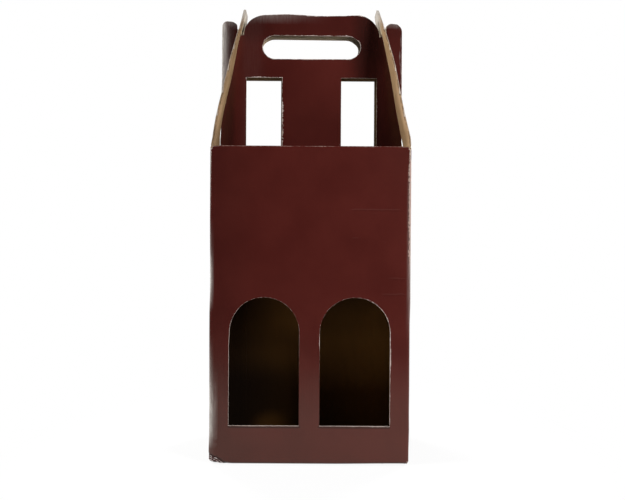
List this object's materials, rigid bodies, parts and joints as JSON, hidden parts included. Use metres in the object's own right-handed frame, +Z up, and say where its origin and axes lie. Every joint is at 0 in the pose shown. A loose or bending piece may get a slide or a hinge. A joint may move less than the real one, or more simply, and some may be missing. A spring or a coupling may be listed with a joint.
{
  "type": "bottle shipping box",
  "caption": "Folded board carrier for wine bottles, with arched front windows, a gable handle with a hand slot and neck windows, and side flaps that lock over the handle.",
  "frame": {"origin": "centre of the footprint, on the surface the box stands on", "axes": "+X to the right seen from the front, +Y from the windowed front wall to the back wall, +Z up"},
  "size_m": [0.165, 0.083, 0.386],
  "materials": {
    "board": "micro-flute board, burgundy print with a light gloss outside, plain kraft inside"
  },
  "bodies": {
    "root": {"carton": "board"}
  },
  "joints": []
}
